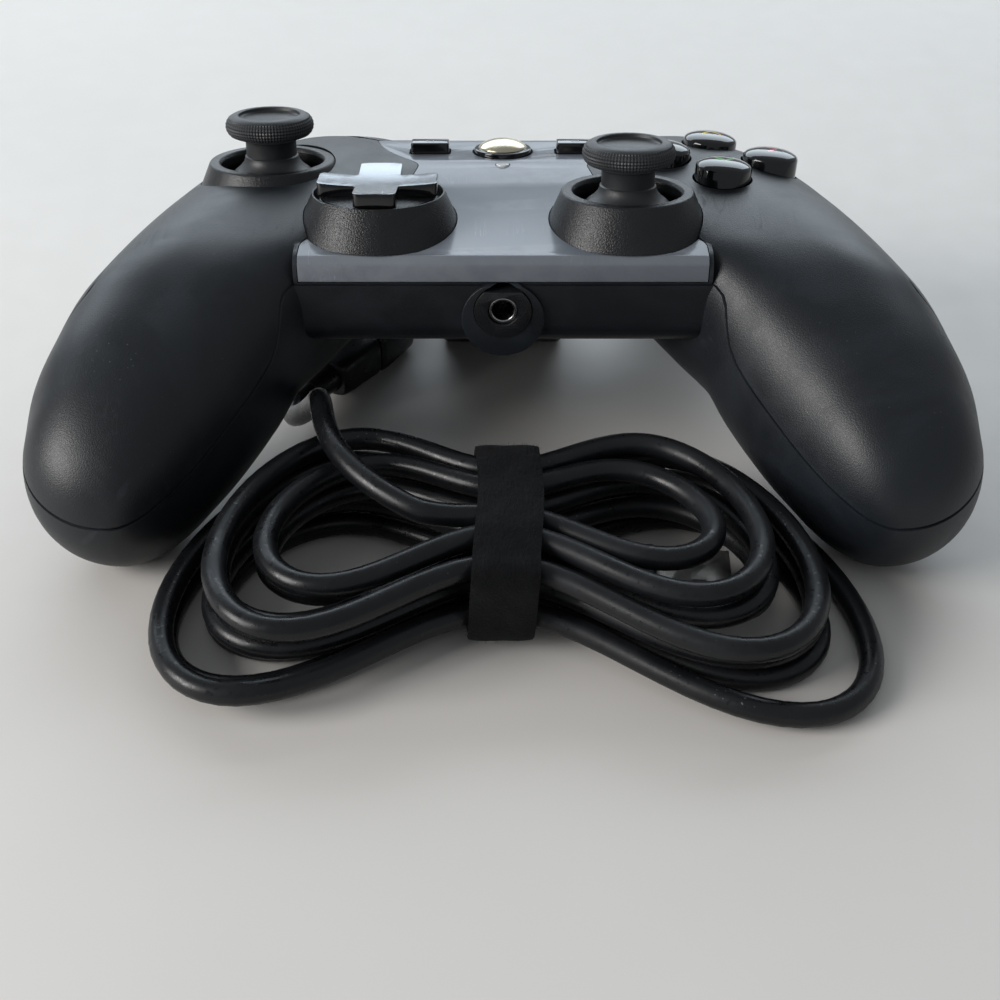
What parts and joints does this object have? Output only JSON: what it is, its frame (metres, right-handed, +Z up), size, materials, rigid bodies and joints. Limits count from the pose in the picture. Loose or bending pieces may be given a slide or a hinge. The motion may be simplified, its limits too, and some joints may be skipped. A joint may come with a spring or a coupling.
{
  "type": "wired gamepad controller",
  "caption": "Wired two-grip gamepad with thumb sticks, direction pad, face buttons, bumpers, triggers, a headset jack and its cord strapped in a hank.",
  "frame": {"origin": "middle of the body's box on the table, without the cord", "axes": "+X to the player's right along the longest extent, +Y to the back where the cord leaves, +Z up"},
  "size_m": [0.154, 0.1853, 0.057],
  "materials": {
    "shell_black": "satin",
    "panel_grey": "gloss",
    "collar_black": "fine grain",
    "cap_rubber": "matte",
    "steel": "satin",
    "inner_black": "satin",
    "dpad_chrome": "polished",
    "button_gloss": "gloss",
    "home_metal": "polished",
    "light_clear": "clear",
    "trigger_black": "satin",
    "board_green": "satin",
    "mat_rubber": "matte",
    "jack_metal": "satin",
    "weight_brass": "satin",
    "cord_black": "satin",
    "strap_felt": "fuzzy",
    "plug_metal": "satin"
  },
  "bodies": {
    "body": {"top_shell": "shell_black", "bottom_shell": "shell_black", "face_panel": "panel_grey", "rear_cover": "shell_black", "left_stick_collar": "collar_black", "right_stick_collar": "collar_black", "dpad_collar": "collar_black", "left_stick_frame": "steel", "right_stick_frame": "steel", "stick_sensors": "inner_black", "tact_switches": "inner_black", "dpad_tower": "inner_black", "button_mat": "mat_rubber", "status_light": "light_clear", "trigger_pins": "steel", "trigger_springs": "steel", "headset_jack": "jack_metal", "jack_trim": "inner_black", "main_board": "board_green", "left_motor": "steel", "right_motor": "steel", "case_screws": "steel", "cord_boot": "cord_black", "cord_pigtail": "cord_black", "coupling_socket": "cord_black", "coupling_plug": "cord_black", "cord_lead": "cord_black", "cord_hank": "cord_black", "hank_strap": "strap_felt", "cord_tail": "cord_black", "plug_body": "cord_black", "plug_shell": "plug_metal"},
    "left_lift": {"left_stick_lift": "inner_black"},
    "left_rocker": {"left_stick_rocker": "inner_black"},
    "left_arch": {"left_stick_arch": "inner_black"},
    "left_stick": {"left_stick_post": "steel", "left_stick_cap": "cap_rubber"},
    "right_lift": {"right_stick_lift": "inner_black"},
    "right_rocker": {"right_stick_rocker": "inner_black"},
    "right_arch": {"right_stick_arch": "inner_black"},
    "right_stick": {"right_stick_post": "steel", "right_stick_cap": "cap_rubber"},
    "dpad_ring": {"dpad_gimbal": "steel"},
    "dpad": {"dpad_cross": "dpad_chrome"},
    "button_near_key": {"button_near": "button_gloss"},
    "button_right_key": {"button_right": "button_gloss"},
    "button_left_key": {"button_left": "button_gloss"},
    "button_far_key": {"button_far": "button_gloss"},
    "option_left_key": {"option_left": "button_gloss"},
    "option_right_key": {"option_right": "button_gloss"},
    "home_button_key": {"home_button": "home_metal"},
    "left_bumper_key": {"left_bumper": "trigger_black"},
    "right_bumper_key": {"right_bumper": "trigger_black"},
    "left_trigger_key": {"left_trigger": "trigger_black"},
    "right_trigger_key": {"right_trigger": "trigger_black"},
    "left_spinner": {"left_weight": "weight_brass"},
    "right_spinner": {"right_weight": "weight_brass"}
  },
  "joints": [
    {"name": "left_click", "type": "slide", "parent": "body", "child": "left_lift", "axis": [0, -0.1564, -0.9877], "range_m": [0, 0.0005], "stiffness_N_per_m": 3000, "springref_m": -0.0004},
    {"name": "left_lean", "type": "hinge", "parent": "left_lift", "child": "left_rocker", "pos_m": [-0.0416, 0.01987, 0.03473], "axis": [0, 0.9877, -0.1564], "range_deg": [-16, 16], "stiffness_Nm_per_rad": 0.03},
    {"name": "left_pitch", "type": "hinge", "parent": "left_rocker", "child": "left_stick", "pos_m": [-0.0416, 0.01987, 0.03473], "axis": [1, 0, 0], "range_deg": [-16, 16], "stiffness_Nm_per_rad": 0.03},
    {"name": "left_arch_turn", "type": "hinge", "parent": "body", "child": "left_arch", "pos_m": [-0.0416, 0.01987, 0.03473], "axis": [1, 0, 0], "range_deg": [-17, 17]},
    {"name": "right_click", "type": "slide", "parent": "body", "child": "right_lift", "axis": [0, -0.1564, -0.9877], "range_m": [0, 0.0005], "stiffness_N_per_m": 3000, "springref_m": -0.0004},
    {"name": "right_lean", "type": "hinge", "parent": "right_lift", "child": "right_rocker", "pos_m": [0.021, -0.00008, 0.03789], "axis": [0, 0.9877, -0.1564], "range_deg": [-16, 16], "stiffness_Nm_per_rad": 0.03},
    {"name": "right_pitch", "type": "hinge", "parent": "right_rocker", "child": "right_stick", "pos_m": [0.021, -0.00008, 0.03789], "axis": [1, 0, 0], "range_deg": [-16, 16], "stiffness_Nm_per_rad": 0.03},
    {"name": "right_arch_turn", "type": "hinge", "parent": "body", "child": "right_arch", "pos_m": [0.021, -0.00008, 0.03789], "axis": [1, 0, 0], "range_deg": [-17, 17]},
    {"name": "dpad_pitch", "type": "hinge", "parent": "body", "child": "dpad_ring", "pos_m": [-0.021, 0.00081, 0.04352], "axis": [1, 0, 0], "range_deg": [-4, 4], "stiffness_Nm_per_rad": 0.12},
    {"name": "dpad_lean", "type": "hinge", "parent": "dpad_ring", "child": "dpad", "pos_m": [-0.021, 0.00081, 0.04352], "axis": [0, 0.9877, -0.1564], "range_deg": [-4, 4], "stiffness_Nm_per_rad": 0.12},
    {"name": "button_near_press", "type": "slide", "parent": "body", "child": "button_near_key", "axis": [-0.0698, -0.1561, -0.9853], "range_m": [0, 0.0012], "stiffness_N_per_m": 400, "springref_m": -0.001},
    {"name": "button_right_press", "type": "slide", "parent": "body", "child": "button_right_key", "axis": [-0.0698, -0.1561, -0.9853], "range_m": [0, 0.0012], "stiffness_N_per_m": 400, "springref_m": -0.001},
    {"name": "button_left_press", "type": "slide", "parent": "body", "child": "button_left_key", "axis": [-0.0698, -0.1561, -0.9853], "range_m": [0, 0.0012], "stiffness_N_per_m": 400, "springref_m": -0.001},
    {"name": "button_far_press", "type": "slide", "parent": "body", "child": "button_far_key", "axis": [-0.0698, -0.1561, -0.9853], "range_m": [0, 0.0012], "stiffness_N_per_m": 400, "springref_m": -0.001},
    {"name": "option_left_press", "type": "slide", "parent": "body", "child": "option_left_key", "axis": [0, -0.1564, -0.9877], "range_m": [0, 0.0006], "stiffness_N_per_m": 1500, "springref_m": -0.0004},
    {"name": "option_right_press", "type": "slide", "parent": "body", "child": "option_right_key", "axis": [0, -0.1564, -0.9877], "range_m": [0, 0.0006], "stiffness_N_per_m": 1500, "springref_m": -0.0004},
    {"name": "home_button_press", "type": "slide", "parent": "body", "child": "home_button_key", "axis": [0, -0.1564, -0.9877], "range_m": [0, 0.0006], "stiffness_N_per_m": 1500, "springref_m": -0.0004},
    {"name": "left_bumper_press", "type": "hinge", "parent": "body", "child": "left_bumper_key", "pos_m": [-0.0165, 0.0394, 0.037], "axis": [0, 0, 1], "range_deg": [0, 1.5], "stiffness_Nm_per_rad": 0.8, "springref_deg": -1.15},
    {"name": "right_bumper_press", "type": "hinge", "parent": "body", "child": "right_bumper_key", "pos_m": [0.0165, 0.0394, 0.037], "axis": [0, 0, -1], "range_deg": [0, 1.5], "stiffness_Nm_per_rad": 0.8, "springref_deg": -1.15},
    {"name": "left_trigger_pull", "type": "hinge", "parent": "body", "child": "left_trigger_key", "pos_m": [-0.03575, 0.036, 0.0294], "axis": [-1, 0, 0], "range_deg": [0, 18], "stiffness_Nm_per_rad": 0.03, "springref_deg": -20.05},
    {"name": "right_trigger_pull", "type": "hinge", "parent": "body", "child": "right_trigger_key", "pos_m": [0.03575, 0.036, 0.0294], "axis": [-1, 0, 0], "range_deg": [0, 18], "stiffness_Nm_per_rad": 0.03, "springref_deg": -20.05},
    {"name": "left_spin", "type": "hinge", "parent": "body", "child": "left_spinner", "pos_m": [-0.0641, -0.0298, 0.018], "axis": [1, 0, 0], "continuous": true},
    {"name": "right_spin", "type": "hinge", "parent": "body", "child": "right_spinner", "pos_m": [0.0641, -0.0298, 0.018], "axis": [1, 0, 0], "continuous": true}
  ],
  "couplings": [
    {"joint": "left_arch_turn", "follows": "left_pitch", "ratio": 1},
    {"joint": "right_arch_turn", "follows": "right_pitch", "ratio": 1}
  ]
}
